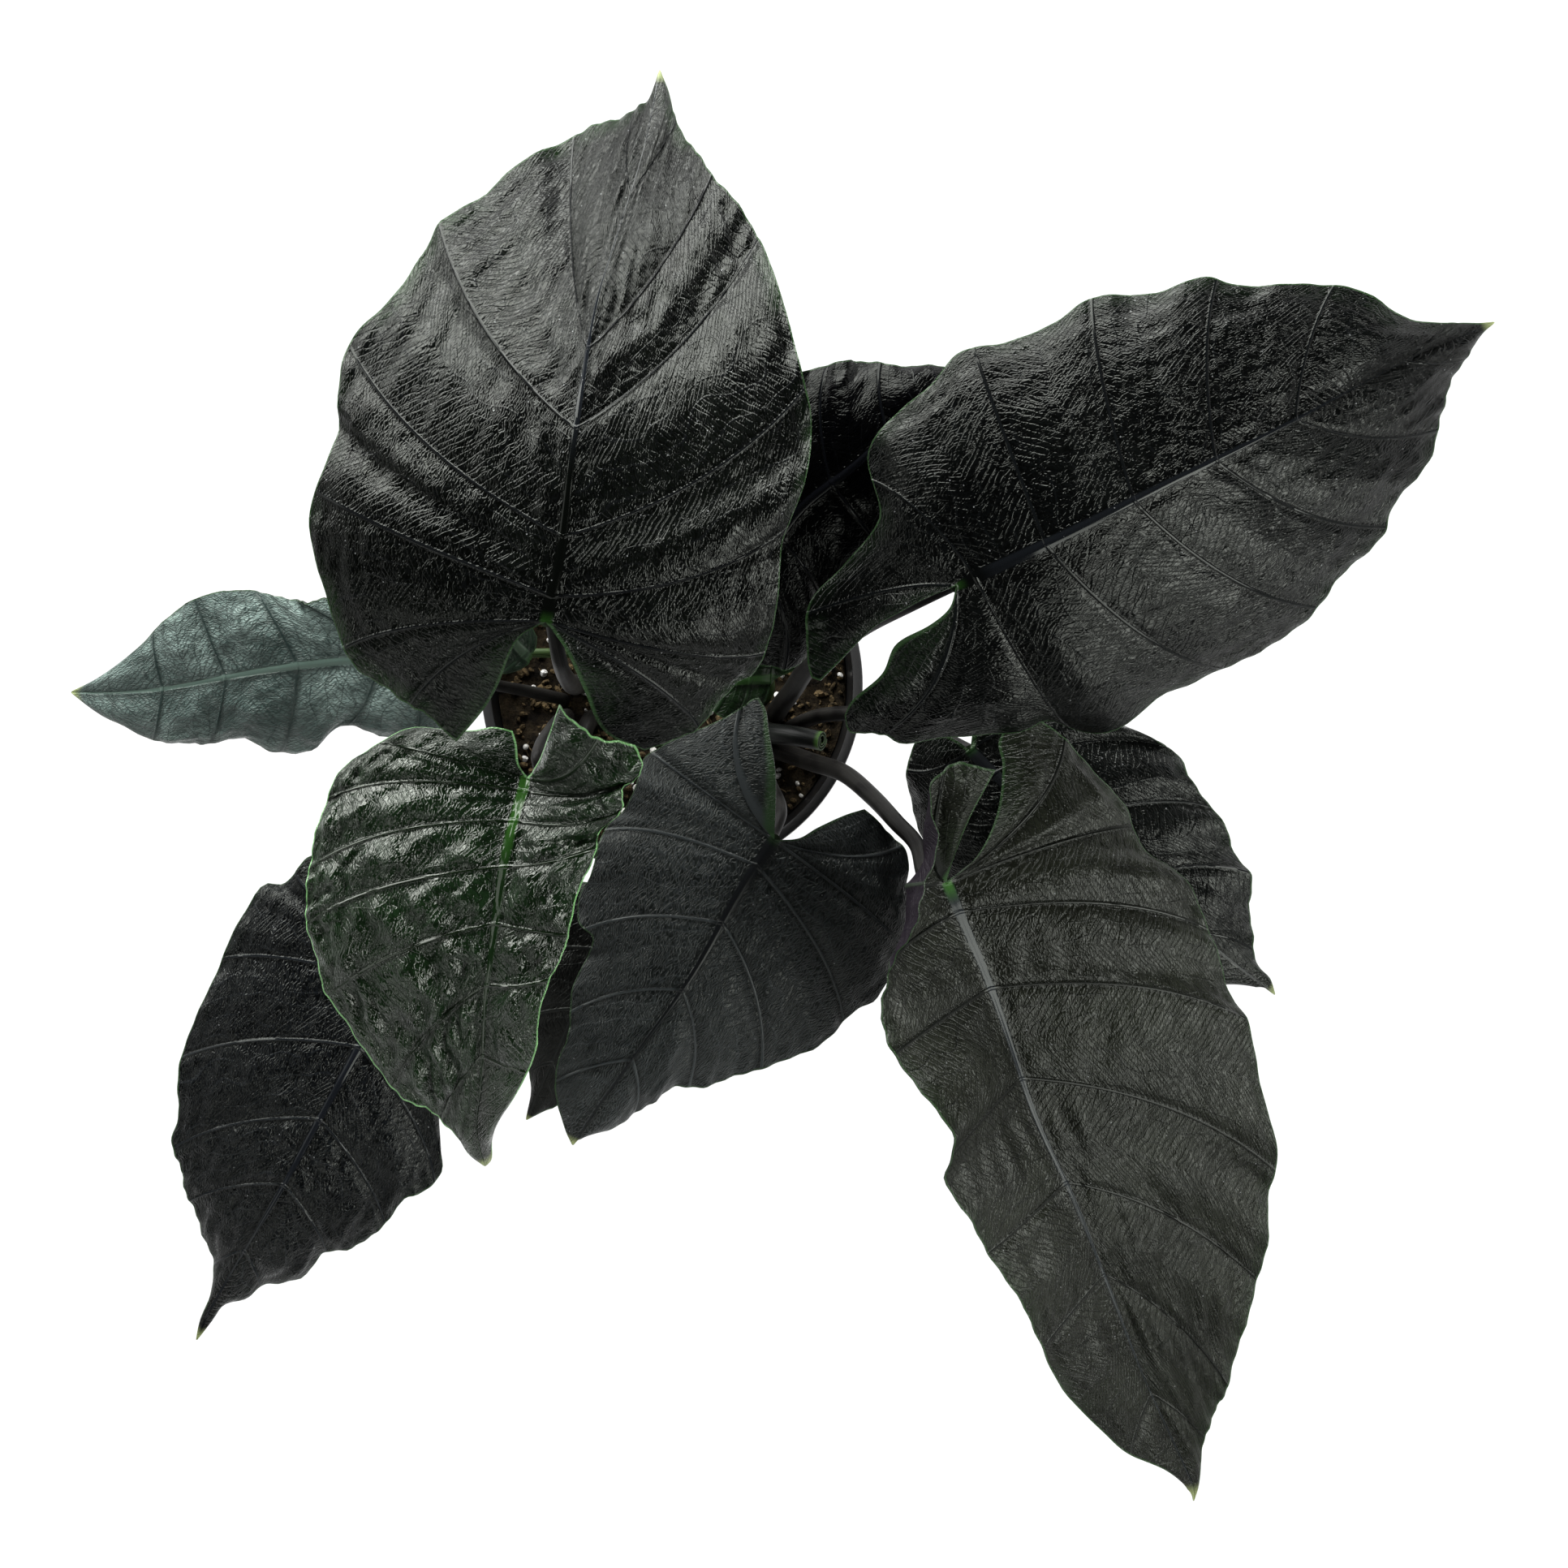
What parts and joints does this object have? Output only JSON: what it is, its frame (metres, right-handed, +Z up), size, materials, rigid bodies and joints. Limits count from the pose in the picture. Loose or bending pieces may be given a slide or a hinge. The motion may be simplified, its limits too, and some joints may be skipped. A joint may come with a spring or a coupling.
{
  "type": "potted alocasia",
  "caption": "Dark velvety alocasia with large quilted arrow-shaped leaves on upright stalks, growing from soil in a round tapered nursery pot.",
  "frame": {"origin": "centre of the pot's flat base, at the level it stands on", "axes": "+Z up along the pot's axis; the longest leaf points between +X and -Y, the largest one towards +Y"},
  "size_m": [0.5627, 0.554, 0.3497],
  "materials": {
    "leaf_top": "satin",
    "leaf_right": "satin",
    "leaf_long": "satin",
    "leaf_front": "satin",
    "leaf_young": "satin",
    "leaf_low": "satin",
    "leaf_side": "satin",
    "leaf_back": "satin",
    "leaf_behind": "satin",
    "leaf_under": "satin",
    "leaf_small": "satin",
    "leaf_green": "satin",
    "stalk": "satin",
    "green_stalk": "satin",
    "new_leaf": "satin",
    "soil": "rough",
    "pot": "satin"
  },
  "bodies": {
    "root": {"leaf_top": "leaf_top", "leaf_right": "leaf_right", "leaf_long": "leaf_long", "leaf_front": "leaf_front", "leaf_young": "leaf_young", "leaf_low": "leaf_low", "leaf_side": "leaf_side", "leaf_back": "leaf_back", "leaf_behind": "leaf_behind", "leaf_under": "leaf_under", "leaf_small": "leaf_small", "leaf_green": "leaf_green", "stalk_top": "stalk", "stalk_right": "stalk", "stalk_long": "stalk", "stalk_front": "stalk", "stalk_young": "stalk", "stalk_low": "stalk", "stalk_side": "stalk", "stalk_back": "stalk", "stalk_behind": "stalk", "stalk_under": "stalk", "stalk_small": "green_stalk", "stalk_green": "green_stalk", "new_leaf": "new_leaf", "soil": "soil", "pot": "pot"}
  },
  "joints": []
}
